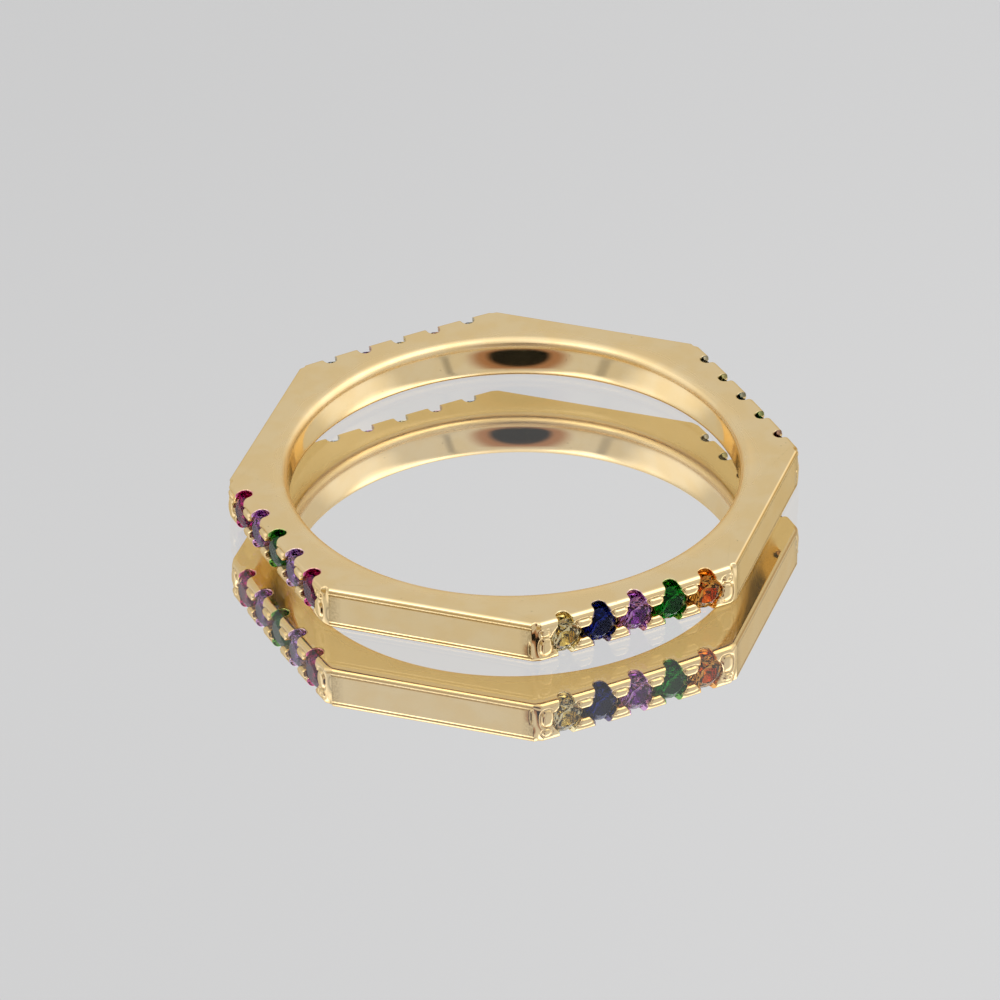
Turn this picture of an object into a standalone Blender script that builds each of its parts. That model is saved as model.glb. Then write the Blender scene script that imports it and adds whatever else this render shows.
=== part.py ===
"""An eight-sided finger ring whose sides are by turns plain and set with a row of five round stones.

The ring lies on its side: +Z runs along the bore, the underside is at zero height, and the middle of the first
set row faces -Y. Everything is in metres. A side of the band has its own frame: u runs along the side, v runs
across the band (up), and w points away from the finger, with w = 0 on the flat of the side.
"""

import math

import bmesh
import bpy
from mathutils import Matrix, Vector

MM = 0.001

# Driving sizes of the band
SIDES = 8
BORE_RADIUS = 8.65 * MM
WALL_AT_FLATS = 1.57 * MM
BAND_HEIGHT = 1.74 * MM
BORE_ROUNDING = 0.40 * MM
SET_EDGE_ROUNDING = 0.22 * MM
PLAIN_EDGE_ROUNDING = 0.10 * MM
CORNER_ROUNDING = 0.50 * MM

# Driving sizes of the stones, the proportions of a brilliant being shares of its diameter
STONES_PER_ROW = 5
STONE_DIAMETER = 1.40 * MM
STONE_SPACE = 0.10 * MM
STONE_CLEARANCE = 0.02 * MM
TABLE_ABOVE_FLAT = 0.02 * MM
TABLE_SHARE = 0.57
GIRDLE_SHARE = 0.035
STAR_TIP_SHARE = 0.78
LOWER_HALF_TIP_SHARE = 0.23
CROWN_ANGLE = math.radians(34.5)
PAVILION_ANGLE = math.radians(41.0)
BED_CROWN_ANGLE = math.radians(39.0)
BED_PAVILION_ANGLE = math.radians(43.5)
RIM_RUN_OUT = math.radians(10)
FLAT_ANGLE = math.radians(0.1)
SHARP_ANGLE = math.radians(30)

# Driving sizes of the setting
STONE_LIP = 0.09 * MM
NOTCH_WIDTH = 0.50 * MM
NOTCH_DEPTH = 0.50 * MM
NOTCH_FLARE = 1.6
CHANNEL_WIDTH = 0.46 * MM
CHANNEL_DEPTH = 0.30 * MM
PRONG_LENGTH = 0.84 * MM
PRONG_WIDTH = 0.44 * MM
PRONG_RISE = 0.09 * MM
PRONG_ROOT = 0.24 * MM
END_PRONG_LENGTH = 0.52 * MM

# How far a cutting shape runs past the metal that it cuts, and how near two points are one point
OVERRUN = 0.5 * MM
MERGE_DISTANCE = 0.004 * MM

# Worked out from the sizes above
APOTHEM = BORE_RADIUS + WALL_AT_FLATS
HALF_SIDE_ANGLE = math.pi / SIDES
STONE_RADIUS = STONE_DIAMETER / 2
STONE_PITCH = STONE_DIAMETER + STONE_SPACE
CROWN_HEIGHT = STONE_RADIUS * (1 - TABLE_SHARE) * math.tan(CROWN_ANGLE)
GIRDLE_HEIGHT = STONE_DIAMETER * GIRDLE_SHARE
GIRDLE_W = TABLE_ABOVE_FLAT - CROWN_HEIGHT - GIRDLE_HEIGHT / 2
OPENING_RADIUS = STONE_RADIUS - STONE_LIP

# How finely round shapes are divided
BORE_SEGMENTS = 64
ROUNDING_SEGMENTS = 3
OPENING_SEGMENTS = 16
NOTCH_SEGMENTS = 8
PRONG_RINGS = 4
PRONG_SEGMENTS = 8
CROWN_FACETS = 8

# The set sides by name: the side's number, counted round from -Y, and its five stone colours along the row
ROWS = {
    "front": (0, ("champagne", "sapphire", "amethyst", "emerald", "orange")),
    "right": (2, ("plum", "emerald", "teal", "olive", "grey_green")),
    "back": (4, ("steel_blue", "rose", "champagne", "amethyst", "steel_blue")),
    "left": (6, ("ruby", "amethyst", "emerald", "lilac", "ruby")),
}

STONE_COLOURS = {
    "champagne": (0.62, 0.50, 0.16),
    "sapphire": (0.005, 0.02, 0.22),
    "amethyst": (0.22, 0.04, 0.38),
    "emerald": (0.01, 0.26, 0.04),
    "orange": (0.75, 0.16, 0.02),
    "plum": (0.20, 0.03, 0.10),
    "teal": (0.03, 0.13, 0.16),
    "olive": (0.38, 0.42, 0.14),
    "grey_green": (0.40, 0.42, 0.36),
    "steel_blue": (0.30, 0.38, 0.46),
    "rose": (0.62, 0.32, 0.34),
    "ruby": (0.40, 0.01, 0.12),
    "lilac": (0.40, 0.28, 0.52),
}


def clear_scene():
    for item in list(bpy.data.objects):
        bpy.data.objects.remove(item, do_unlink=True)


def new_collection(name):
    group = bpy.data.collections.new(name)
    bpy.context.scene.collection.children.link(group)
    return group


def new_object(name, bm, group):
    mesh = bpy.data.meshes.new(name)
    bm.to_mesh(mesh)
    bm.free()
    item = bpy.data.objects.new(name, mesh)
    group.objects.link(item)
    return item


def make_cutter(item):
    """Cutters and shapes that are joined on are construction only."""
    item.hide_render = True
    item.display_type = "WIRE"
    return item


def new_material(name, colour, roughness, metallic, transmission=0.0):
    material = bpy.data.materials.new(name)
    material.use_nodes = True
    shader = material.node_tree.nodes["Principled BSDF"]
    shader.inputs["Base Color"].default_value = (*colour, 1.0)
    shader.inputs["Roughness"].default_value = roughness
    shader.inputs["Metallic"].default_value = metallic
    shader.inputs["Transmission Weight"].default_value = transmission
    return material


def side_frame(side):
    """The matrix from a side's own frame (u, v, w) to the ring's frame."""
    angle = 2 * HALF_SIDE_ANGLE * side - math.pi / 2
    along = Vector((-math.sin(angle), math.cos(angle), 0))
    up = Vector((0, 0, 1))
    outward = Vector((math.cos(angle), math.sin(angle), 0))
    turn = Matrix((along, up, outward)).transposed().to_4x4()
    return Matrix.Translation(outward * APOTHEM + up * BAND_HEIGHT / 2) @ turn


def stone_places():
    """Distance of each stone's centre from the middle of its side."""
    middle = (STONES_PER_ROW - 1) / 2
    return [(index - middle) * STONE_PITCH for index in range(STONES_PER_ROW)]


def add_modifier_boolean(item, operation, group):
    modifier = item.modifiers.new(operation.lower() + "_" + group.name, "BOOLEAN")
    modifier.operation = operation
    modifier.solver = "EXACT"
    modifier.operand_type = "COLLECTION"
    modifier.collection = group


def make_band_blank(group):
    """An eight-sided prism whose edges carry their own rounding as a share of the widest one."""
    bm = bmesh.new()
    bmesh.ops.create_cone(
        bm,
        cap_ends=True,
        segments=SIDES,
        radius1=APOTHEM / math.cos(HALF_SIDE_ANGLE),
        radius2=APOTHEM / math.cos(HALF_SIDE_ANGLE),
        depth=BAND_HEIGHT,
        matrix=Matrix.Translation((0, 0, BAND_HEIGHT / 2)) @ Matrix.Rotation(HALF_SIDE_ANGLE, 4, "Z"),
    )
    corner_width = CORNER_ROUNDING * math.tan(HALF_SIDE_ANGLE)
    widest = max(SET_EDGE_ROUNDING, PLAIN_EDGE_ROUNDING, corner_width)
    set_sides = {side for side, _ in ROWS.values()}
    weight = bm.edges.layers.float.new("bevel_weight_edge")
    for edge in bm.edges:
        low, high = (vert.co for vert in edge.verts)
        if abs(low.z - high.z) > BAND_HEIGHT / 2:
            width = corner_width
        else:
            middle = (low + high) / 2
            angle = math.atan2(middle.y, middle.x) + math.pi / 2
            side = round(angle / (2 * HALF_SIDE_ANGLE)) % SIDES
            width = SET_EDGE_ROUNDING if side in set_sides else PLAIN_EDGE_ROUNDING
        edge[weight] = width / widest
    band = new_object("band", bm, group)
    rounding = band.modifiers.new("edge_rounding", "BEVEL")
    rounding.limit_method = "WEIGHT"
    rounding.offset_type = "OFFSET"
    rounding.width = widest
    rounding.segments = ROUNDING_SEGMENTS
    rounding.profile = 0.5
    return band


def make_bore_cutter(group):
    """A turned plug, whose two waists leave the rounded rims of the bore."""
    centre_x = BORE_RADIUS + BORE_ROUNDING
    turns = [
        RIM_RUN_OUT + (math.pi / 2 - RIM_RUN_OUT) * step / ROUNDING_SEGMENTS
        for step in range(ROUNDING_SEGMENTS + 1)
    ]
    arc = [(centre_x - BORE_ROUNDING * math.sin(t), BORE_ROUNDING * (1 - math.cos(t))) for t in turns]
    lead_x = arc[0][0] + BORE_ROUNDING * math.cos(RIM_RUN_OUT)
    lead_z = arc[0][1] - BORE_ROUNDING * math.sin(RIM_RUN_OUT)
    rim = [(lead_x, lead_z)] + arc
    lower = [(x, z) for x, z in reversed(rim)]
    upper = [(x, BAND_HEIGHT - z) for x, z in rim]
    outline = [(0, BAND_HEIGHT + OVERRUN), (lead_x, BAND_HEIGHT + OVERRUN)]
    outline += upper + lower
    outline += [(lead_x, -OVERRUN), (0, -OVERRUN)]
    bm = bmesh.new()
    verts = [bm.verts.new((x, 0, z)) for x, z in outline]
    for first, second in zip(verts, verts[1:]):
        bm.edges.new((first, second))
    cutter = make_cutter(new_object("bore_cutter", bm, group))
    turning = cutter.modifiers.new("turning", "SCREW")
    turning.axis = "Z"
    turning.angle = math.tau
    turning.steps = BORE_SEGMENTS
    turning.render_steps = BORE_SEGMENTS
    turning.use_merge_vertices = True
    turning.merge_threshold = MERGE_DISTANCE
    return cutter


def make_opening_cutter(name, place, group):
    """The round opening that a stone shows through, a lip narrower than the stone."""
    depth = OVERRUN - GIRDLE_W
    bm = bmesh.new()
    bmesh.ops.create_cone(
        bm,
        cap_ends=True,
        segments=OPENING_SEGMENTS,
        radius1=OPENING_RADIUS,
        radius2=OPENING_RADIUS,
        depth=depth,
        matrix=place @ Matrix.Translation((0, 0, depth / 2)),
    )
    return make_cutter(new_object(name, bm, group))


def make_notch_cutter(name, place, group):
    """The round-bottomed notch cut right across the band at a stone, flared towards the flat."""
    radius = NOTCH_WIDTH / 2
    bm = bmesh.new()
    bmesh.ops.create_circle(bm, cap_ends=True, segments=NOTCH_SEGMENTS, radius=radius)
    for vert in bm.verts:
        if vert.co.y > radius * 0.1:
            vert.co.x *= NOTCH_FLARE
            vert.co.y = OVERRUN
    length = BAND_HEIGHT + 2 * OVERRUN
    extruded = bmesh.ops.extrude_face_region(bm, geom=bm.faces[:])
    moved = [part for part in extruded["geom"] if isinstance(part, bmesh.types.BMVert)]
    bmesh.ops.translate(bm, verts=moved, vec=(0, 0, length))
    bmesh.ops.recalc_face_normals(bm, faces=bm.faces[:])
    across_the_band = Matrix.Rotation(math.pi / 2, 4, "X")
    start = Matrix.Translation((0, length / 2, radius - NOTCH_DEPTH))
    bm.transform(place @ start @ across_the_band)
    return make_cutter(new_object(name, bm, group))


def make_channel_cutter(name, place, group):
    """The saw cut along the middle of a row, between the upper and the lower prongs."""
    length = stone_places()[-1] - stone_places()[0]
    depth = OVERRUN + CHANNEL_DEPTH
    bm = bmesh.new()
    bmesh.ops.create_cube(bm, size=1)
    size = Matrix.Diagonal((length, CHANNEL_WIDTH, depth, 1))
    bm.transform(place @ Matrix.Translation((0, 0, depth / 2 - CHANNEL_DEPTH)) @ size)
    return make_cutter(new_object(name, bm, group))


def make_prong(name, place, length, group):
    """A raised bead of metal that leans over the edges of the stones beside it."""
    height = PRONG_RISE + PRONG_ROOT
    bm = bmesh.new()
    bmesh.ops.create_uvsphere(bm, u_segments=PRONG_SEGMENTS, v_segments=PRONG_RINGS, radius=0.5)
    size = Matrix.Diagonal((length, PRONG_WIDTH, height, 1))
    bm.transform(place @ Matrix.Translation((0, 0, (PRONG_RISE - PRONG_ROOT) / 2)) @ size)
    return make_cutter(new_object(name, bm, group))


def cut_facet(bm, normal, distance):
    """Grinds one flat facet: what lies past the plane goes, and the open edge is closed with a face."""
    cut = bmesh.ops.bisect_plane(
        bm,
        geom=bm.verts[:] + bm.edges[:] + bm.faces[:],
        plane_co=normal * distance,
        plane_no=normal,
        clear_outer=True,
    )
    edges = [part for part in cut["geom_cut"] if isinstance(part, bmesh.types.BMEdge)]
    if len(edges) > 2:
        bmesh.ops.contextual_create(bm, geom=edges)


def facet_ring(bm, count, first, tilt, foot_radius, foot_height):
    """Grinds a ring of facets that pass through a foot circle and lean by the tilt from the level."""
    side = 1 if foot_height > 0 else -1
    for index in range(count):
        turn = first + math.tau * index / count
        normal = Vector((
            math.sin(tilt) * math.cos(turn),
            math.sin(tilt) * math.sin(turn),
            side * math.cos(tilt),
        ))
        foot = Vector((foot_radius * math.cos(turn), foot_radius * math.sin(turn), foot_height))
        cut_facet(bm, normal, foot.dot(normal))


def facet_tilt(main_tilt, tip_share, radius):
    """The tilt of the halves, which join the girdle to the point where two main facets meet."""
    main_step = math.pi / CROWN_FACETS
    tip = tip_share * radius
    climb = (radius - tip * math.cos(main_step)) * math.tan(main_tilt)
    reach = radius * math.cos(main_step / 2) - tip * math.cos(main_step / 2)
    return math.atan2(climb, reach)


def brilliant_mesh(diameter):
    """A round brilliant, the middle of its girdle at zero height, ground in millimetres and returned in metres."""
    radius = diameter / 2 / MM
    half_girdle = diameter * GIRDLE_SHARE / 2 / MM
    girdle_facets = 2 * CROWN_FACETS
    step = math.tau / CROWN_FACETS
    flat_radius = radius * math.cos(step / 4)
    table_radius = radius * TABLE_SHARE
    table_height = half_girdle + (radius - table_radius) * math.tan(CROWN_ANGLE)
    upper_tilt = facet_tilt(CROWN_ANGLE, STAR_TIP_SHARE, radius)
    lower_tilt = facet_tilt(PAVILION_ANGLE, LOWER_HALF_TIP_SHARE, radius)
    star_tip = STAR_TIP_SHARE * radius
    star_tip_height = half_girdle + (radius - star_tip * math.cos(step / 2)) * math.tan(CROWN_ANGLE)
    star_radius = table_radius * math.cos(step / 2)
    star_tilt = math.atan2(table_height - star_tip_height, star_tip - star_radius)
    bm = bmesh.new()
    bmesh.ops.create_cone(
        bm,
        cap_ends=True,
        segments=girdle_facets,
        radius1=radius,
        radius2=radius,
        depth=4 * radius,
    )
    cut_facet(bm, Vector((0, 0, 1)), table_height)
    facet_ring(bm, CROWN_FACETS, 0, CROWN_ANGLE, radius, half_girdle)
    facet_ring(bm, girdle_facets, step / 4, upper_tilt, flat_radius, half_girdle)
    facet_ring(bm, CROWN_FACETS, step / 2, star_tilt, star_radius, table_height)
    facet_ring(bm, CROWN_FACETS, 0, PAVILION_ANGLE, radius, -half_girdle)
    facet_ring(bm, girdle_facets, step / 4, lower_tilt, flat_radius, -half_girdle)
    bmesh.ops.remove_doubles(bm, verts=bm.verts[:], dist=MERGE_DISTANCE / MM)
    bmesh.ops.dissolve_limit(bm, angle_limit=FLAT_ANGLE, verts=bm.verts[:], edges=bm.edges[:])
    bmesh.ops.triangulate(bm, faces=bm.faces[:])
    bmesh.ops.recalc_face_normals(bm, faces=bm.faces[:])
    bm.transform(Matrix.Scale(MM, 4))
    return bm


def bed_mesh():
    """The drilled bed that a stone sits in, open upwards, its clearance round the stone included."""
    half_girdle = GIRDLE_HEIGHT / 2 + STONE_CLEARANCE
    radius = STONE_RADIUS + STONE_CLEARANCE
    crown = CROWN_HEIGHT + STONE_CLEARANCE
    outline = [
        (0, -half_girdle - radius * math.tan(BED_PAVILION_ANGLE)),
        (radius, -half_girdle),
        (radius, half_girdle),
        (radius - crown / math.tan(BED_CROWN_ANGLE), half_girdle + crown),
        (0, OVERRUN),
    ]
    bm = bmesh.new()
    verts = [bm.verts.new((x, 0, z)) for x, z in outline]
    for first, second in zip(verts, verts[1:]):
        bm.edges.new((first, second))
    bmesh.ops.spin(
        bm,
        geom=bm.verts[:] + bm.edges[:],
        cent=(0, 0, 0),
        axis=(0, 0, 1),
        angle=math.tau,
        steps=2 * CROWN_FACETS,
        use_merge=True,
    )
    bmesh.ops.remove_doubles(bm, verts=bm.verts[:], dist=MERGE_DISTANCE)
    bmesh.ops.recalc_face_normals(bm, faces=bm.faces[:])
    return bm


def make_rows(stones, cuts, prongs, beds):
    """The four rows: stones, and the shapes that cut and raise their setting."""
    for row, (side, colours) in ROWS.items():
        frame = side_frame(side)
        make_channel_cutter("channel_" + row, frame, cuts)
        for index, along in enumerate(stone_places()):
            label = row + "_" + str(index + 1)
            at_flat = frame @ Matrix.Translation((along, 0, 0))
            at_girdle = frame @ Matrix.Translation((along, 0, GIRDLE_W))
            make_notch_cutter("notch_" + label, at_flat, cuts)
            make_opening_cutter("opening_" + label, at_girdle, cuts)
            bed = bed_mesh()
            bed.transform(at_girdle)
            make_cutter(new_object("bed_" + label, bed, beds))
            gem = brilliant_mesh(STONE_DIAMETER)
            gem.transform(at_girdle)
            stone = new_object("stone_" + label, gem, stones)
            colour = STONE_COLOURS[colours[index]]
            stone.data.materials.append(new_material(stone.name, colour, 0.03, 0.0, 0.6))
        make_row_prongs(row, frame, prongs)


def make_row_prongs(row, frame, prongs):
    """A prong in each gap between two stones and at each end of the row, above and below the channel."""
    places = stone_places()
    gaps = [(near + far) / 2 for near, far in zip(places, places[1:])]
    end_shift = STONE_RADIUS + END_PRONG_LENGTH / 2 - (PRONG_LENGTH - STONE_SPACE) / 4
    spots = [(along, PRONG_LENGTH) for along in gaps]
    spots += [(places[0] - end_shift, END_PRONG_LENGTH), (places[-1] + end_shift, END_PRONG_LENGTH)]
    across = CHANNEL_WIDTH / 2 + PRONG_WIDTH / 2
    for index, (along, length) in enumerate(spots):
        for level, sign in (("upper", 1), ("lower", -1)):
            name = "prong_" + row + "_" + level + "_" + str(index + 1)
            make_prong(name, frame @ Matrix.Translation((along, sign * across, 0)), length, prongs)


def shade_round(item):
    item.data.shade_smooth()
    item.data.set_sharp_from_angle(angle=SHARP_ANGLE)


def make_ring():
    clear_scene()
    ring = new_collection("eight_sided_ring")
    cuts = new_collection("setting_cuts")
    prongs = new_collection("setting_prongs")
    beds = new_collection("stone_beds")
    band = make_band_blank(ring)
    band.data.materials.append(new_material("gold_plate", (0.83, 0.60, 0.27), 0.12, 1.0))
    make_bore_cutter(cuts)
    make_rows(ring, cuts, prongs, beds)
    add_modifier_boolean(band, "DIFFERENCE", cuts)
    add_modifier_boolean(band, "UNION", prongs)
    add_modifier_boolean(band, "DIFFERENCE", beds)
    shade_round(band)


make_ring()
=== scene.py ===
# %% [markdown]
# # An eight-sided gold-plated ring with twenty coloured stones
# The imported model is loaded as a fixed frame. Everything below dresses it: a finely shaped band stands in
# for the plain one, the cut stones get their colours, and a mirror-like floor and soft light are put
# round them.

# %% Load the frame
import math

import bmesh
import bpy
from mathutils import Matrix, Vector


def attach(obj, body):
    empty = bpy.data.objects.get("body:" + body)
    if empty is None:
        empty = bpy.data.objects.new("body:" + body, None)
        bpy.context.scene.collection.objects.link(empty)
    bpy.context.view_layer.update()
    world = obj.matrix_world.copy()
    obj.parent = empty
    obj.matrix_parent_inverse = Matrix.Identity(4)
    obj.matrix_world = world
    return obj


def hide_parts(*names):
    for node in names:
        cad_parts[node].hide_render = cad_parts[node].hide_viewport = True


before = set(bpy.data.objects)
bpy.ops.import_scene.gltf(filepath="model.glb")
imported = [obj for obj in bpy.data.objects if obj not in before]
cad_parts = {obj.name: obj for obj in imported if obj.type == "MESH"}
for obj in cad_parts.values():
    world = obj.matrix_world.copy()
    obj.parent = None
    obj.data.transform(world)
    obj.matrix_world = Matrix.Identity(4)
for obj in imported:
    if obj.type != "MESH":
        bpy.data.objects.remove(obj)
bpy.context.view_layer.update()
MM = 0.001

# %% [markdown]
# The camera comes first, because every shape is judged through it. The photograph was taken with a long
# lens from about 34 degrees above the table, so the far side of the ring is hardly smaller than the near
# side. The numbers come from a fit of the ring's corners, rims and notches, and the sensor is Blender's
# usual 36 mm.

# %% Camera
CAMERA_DISTANCE = 326.6 * MM
CAMERA_HEIGHT_ANGLE = math.radians(33.88)
CAMERA_TURN = math.radians(-26.22)
CAMERA_YAW = math.radians(-0.0986)
CAMERA_TILT = math.radians(0.0095)
CAMERA_ROLL = math.radians(-1.1465)
SENSOR_MM = 36.0
LENS_MM = 8.4997 * SENSOR_MM


def turned(first, second, angle):
    """Turn two square axes in their own plane, the first towards the second."""
    return (
        first * math.cos(angle) + second * math.sin(angle),
        second * math.cos(angle) - first * math.sin(angle),
    )


place = Vector((0, -math.cos(CAMERA_HEIGHT_ANGLE), math.sin(CAMERA_HEIGHT_ANGLE)))
place = Matrix.Rotation(CAMERA_TURN, 3, "Z") @ place * CAMERA_DISTANCE
ahead = -place.normalized()
aside = ahead.cross(Vector((0, 0, 1))).normalized()
above = aside.cross(ahead)
ahead, aside = turned(ahead, aside, CAMERA_YAW)
ahead, above = turned(ahead, above, CAMERA_TILT)
aside, above = turned(aside, above, CAMERA_ROLL)

lens = bpy.data.cameras.new("long_lens")
lens.lens = LENS_MM
lens.sensor_width = SENSOR_MM
lens.clip_start = 0.01
lens.clip_end = 20
camera = bpy.data.objects.new("camera", lens)
camera.matrix_world = Matrix.Translation(place) @ Matrix((aside, above, -ahead)).transposed().to_4x4()
bpy.context.collection.objects.link(camera)
bpy.context.scene.camera = camera
print("camera", [round(value / MM, 1) for value in place], "mm, lens", round(LENS_MM, 1), "mm")

# %% [markdown]
# A few helpers make node materials short to write. Each takes the tree's owner, so that the same words
# serve the gold, the stones, the floor and the sky. Constant values are put on the shader's own sockets.

# %% Node helpers


def node_tree(name):
    """A fresh material with only an output node, and its tree."""
    material = bpy.data.materials.new(name)
    material.use_nodes = True
    material.node_tree.nodes.clear()
    return material, material.node_tree


def node(tree, kind, inputs=None, **settings):
    """Add a node; inputs maps socket names or numbers to a value or to another socket."""
    made = tree.nodes.new("ShaderNode" + kind)
    for key, value in settings.items():
        setattr(made, key, value)
    for key, value in (inputs or {}).items():
        if isinstance(value, bpy.types.NodeSocket):
            tree.links.new(value, made.inputs[key])
        else:
            made.inputs[key].default_value = value
    return made


def ramp(tree, factor, stops):
    """A colour ramp through (place, grey) or (place, colour) stops, in order."""
    made = node(tree, "ValToRGB", {"Fac": factor})
    elements = made.color_ramp.elements
    elements[1].position = stops[-1][0]
    elements[0].position = stops[0][0]
    for at, value in stops[1:-1]:
        elements.new(at)
    for element, (at, value) in zip(elements, stops):
        element.color = (*value, 1) if isinstance(value, tuple) else (value, value, value, 1)
    return made.outputs["Color"]


def math_node(tree, operation, first, second=0.0):
    return node(tree, "Math", {0: first, 1: second}, operation=operation).outputs[0]


def smooth_between(tree, value, start, end, low=0.0, high=1.0):
    """Low at start, high at end, smooth between and level beyond; start may be the greater."""
    spread = {"Value": value, "From Min": start, "From Max": end, "To Min": low, "To Max": high}
    return node(tree, "MapRange", spread, interpolation_type="SMOOTHSTEP").outputs[0]


def mixed(tree, factor, first, second):
    """The first colour where the factor is 0, the second where it is 1."""
    return node(tree, "Mix", {0: factor, 6: first, 7: second}, data_type="RGBA").outputs[2]


# %% [markdown]
# The photograph shows the studio mostly through reflections, because the metal and the floor are mirrors.
# So the room is painted as a sky that the metal sees. A photographed sky could do it, but a few rules are
# lighter and can be tuned one by one. Directions are told from the camera: how far round to the side, and
# how high up. Each lamp is a soft round glow. The two beside the camera turn the polished edges white.

# %% Lamps
FLOOR_GREY = 0.688
ROOM_GREY = 0.665
LAMP_COLUMNS = ("degrees to the right", "degrees up", "full within", "gone beyond", "strength")
LAMPS = {
    "right": (80, 60, 12, 26, 1.25),
    "left": (-72, 60, 13, 26, 0.35),
    "strip": (-44, 55, 5, 15, 1.4),
    "right wall": (90, 30, 4, 28, 0.36),
    "left wall": (-90, 30, 4, 28, 0.40),
    "ceiling": (0, 90, 8, 45, 0.32),
}
RIM_LAMP = (108, 24, 12, 34, 0.5)

room = bpy.data.worlds.new("pale_room")
room.use_nodes = True
room_tree = room.node_tree
room_tree.nodes.clear()
sky = node(room_tree, "TexCoord").outputs["Generated"]


def towards(side_angle, height_angle):
    """The direction this many degrees to the right of the camera and this many above the table."""
    side_angle, height_angle = math.radians(side_angle), math.radians(height_angle)
    level = Vector((math.sin(side_angle), -math.cos(side_angle), 0)) * math.cos(height_angle)
    return Matrix.Rotation(CAMERA_TURN, 3, "Z") @ (level + Vector((0, 0, math.sin(height_angle))))


def along(direction):
    """How closely the sky direction agrees with the given one."""
    return node(room_tree, "VectorMath", {0: sky, 1: direction}, operation="DOT_PRODUCT").outputs["Value"]


def lamp_glow(side_angle, height_angle, inner, outer, strength):
    """A round soft lamp, full inside the inner angle and gone outside the outer one."""
    closeness = along(towards(side_angle, height_angle))
    outer, inner = math.cos(math.radians(outer)), math.cos(math.radians(inner))
    return smooth_between(room_tree, closeness, outer, inner, 0.0, strength)


lamps = 0.0
for name, lamp in LAMPS.items():
    lamps = math_node(room_tree, "ADD", lamps, lamp_glow(*lamp))
    print(name, dict(zip(LAMP_COLUMNS, lamp)))
rim_lamp = lamp_glow(*RIM_LAMP)

# %% [markdown]
# The walls are an even pale grey. Low down they are warmer and darker on some sides, which gives the bore
# and the far edges their golden brown. Two seams of the cloth tent run from the floor to the top as
# darker bands. Both follow the angle round the room, so each is a colour ramp with its stops given in
# degrees.

# %% Walls
SEAMS = (
    (-180, 1.0), (-52, 1.0), (-49.5, 0.66), (-46.5, 0.66), (-44, 1.0),
    (31, 1.0), (32.6, 0.55), (34.4, 0.55), (36, 1.0), (180, 1.0),
)
WHITE_WALL = (1.0, 1.0, 1.0)
WARM_WALL = (0.70, 0.55, 0.31)
LOW_WALLS = (
    (-180, WHITE_WALL), (-75, WHITE_WALL), (-60, WARM_WALL), (-25, WARM_WALL), (-12, (0.92, 0.90, 0.86)),
    (20, (0.95, 0.93, 0.90)), (90, (0.95, 0.91, 0.84)), (110, (0.90, 0.82, 0.66)), (125, WARM_WALL),
    (150, WARM_WALL), (165, WHITE_WALL),
)
LOW_WALLS_END = (math.sin(math.radians(10)), math.sin(math.radians(24)))

height = math_node(room_tree, "ABSOLUTE", along((0, 0, 1)))
around = math_node(room_tree, "ARCTAN2", along(towards(90, 0)), along(towards(0, 0)))
turns = math_node(room_tree, "ADD", math_node(room_tree, "MULTIPLY", around, 0.5 / math.pi), 0.5)


def round_the_room(stops):
    """A ramp round the room, from stops given in degrees to the right of the camera."""
    return ramp(room_tree, turns, [(angle / 360 + 0.5, tone) for angle, tone in stops])


above_walls = smooth_between(room_tree, height, *LOW_WALLS_END)
horizon = mixed(room_tree, above_walls, round_the_room(LOW_WALLS), (*WHITE_WALL, 1))
seams = round_the_room(SEAMS)
walls = node(room_tree, "VectorMath", {0: horizon, 1: seams}, operation="MULTIPLY").outputs[0]
walls = node(room_tree, "VectorMath", {0: walls, "Scale": ROOM_GREY}, operation="SCALE").outputs[0]
lit = node(room_tree, "VectorMath", {0: walls, 1: lamps}, operation="ADD").outputs[0]
print(len(SEAMS), "seam stops and", len(LOW_WALLS), "wall stops round the room, grey", ROOM_GREY)

# %% [markdown]
# The camera's own lens shows as the dark oval inside the bore, with a dim warm edge round it. It is drawn
# as an ellipse in the sky: the distance from its middle is measured in two square directions, each shared
# by its half width, and two soft steps on that distance make the dark middle and the warm edge.

# %% Lens
LENS_SIDE = -3.6
LENS_UP = 29
LENS_WIDE = math.sin(math.radians(14.5))
LENS_HIGH = math.sin(math.radians(11))
LENS_DARK = (0.008, 0.008, 0.006, 1)
LENS_WARM = (0.36, 0.20, 0.13, 1)
DARK_EDGE = (1.1, 0.8)
WARM_EDGE = (1.75, 1.15)

across_lens = math_node(room_tree, "DIVIDE", along(towards(90 + LENS_SIDE, 0)), LENS_WIDE)
up_lens = math_node(room_tree, "DIVIDE", along(towards(180 + LENS_SIDE, 90 - LENS_UP)), LENS_HIGH)
across_square = math_node(room_tree, "POWER", across_lens, 2.0)
up_square = math_node(room_tree, "POWER", up_lens, 2.0)
lens_distance = math_node(room_tree, "SQRT", math_node(room_tree, "ADD", across_square, up_square))
in_front = smooth_between(room_tree, along(towards(LENS_SIDE, LENS_UP)), 0.0, 0.1)
lens_dark = math_node(room_tree, "MULTIPLY", in_front, smooth_between(room_tree, lens_distance, *DARK_EDGE))
lens_warm = math_node(room_tree, "MULTIPLY", in_front, smooth_between(room_tree, lens_distance, *WARM_EDGE))
seen = mixed(room_tree, lens_warm, lit, LENS_WARM)
seen = mixed(room_tree, lens_dark, seen, LENS_DARK)
print("lens", LENS_UP, "degrees up and", LENS_SIDE, "degrees to the right")

# %% [markdown]
# Seen straight, or in the floor alone, the room stays one plain pale grey from every side, only a touch
# darker to the left and at the top. A Light Path node tells these rays apart: they have bounced once at
# most, which the room counts as 2, and the floor's clear sheet is the only clear thing that they have
# passed. One more soft lamp shines on the bore's rim, and only straight: the floor doesn't mirror it.

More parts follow.
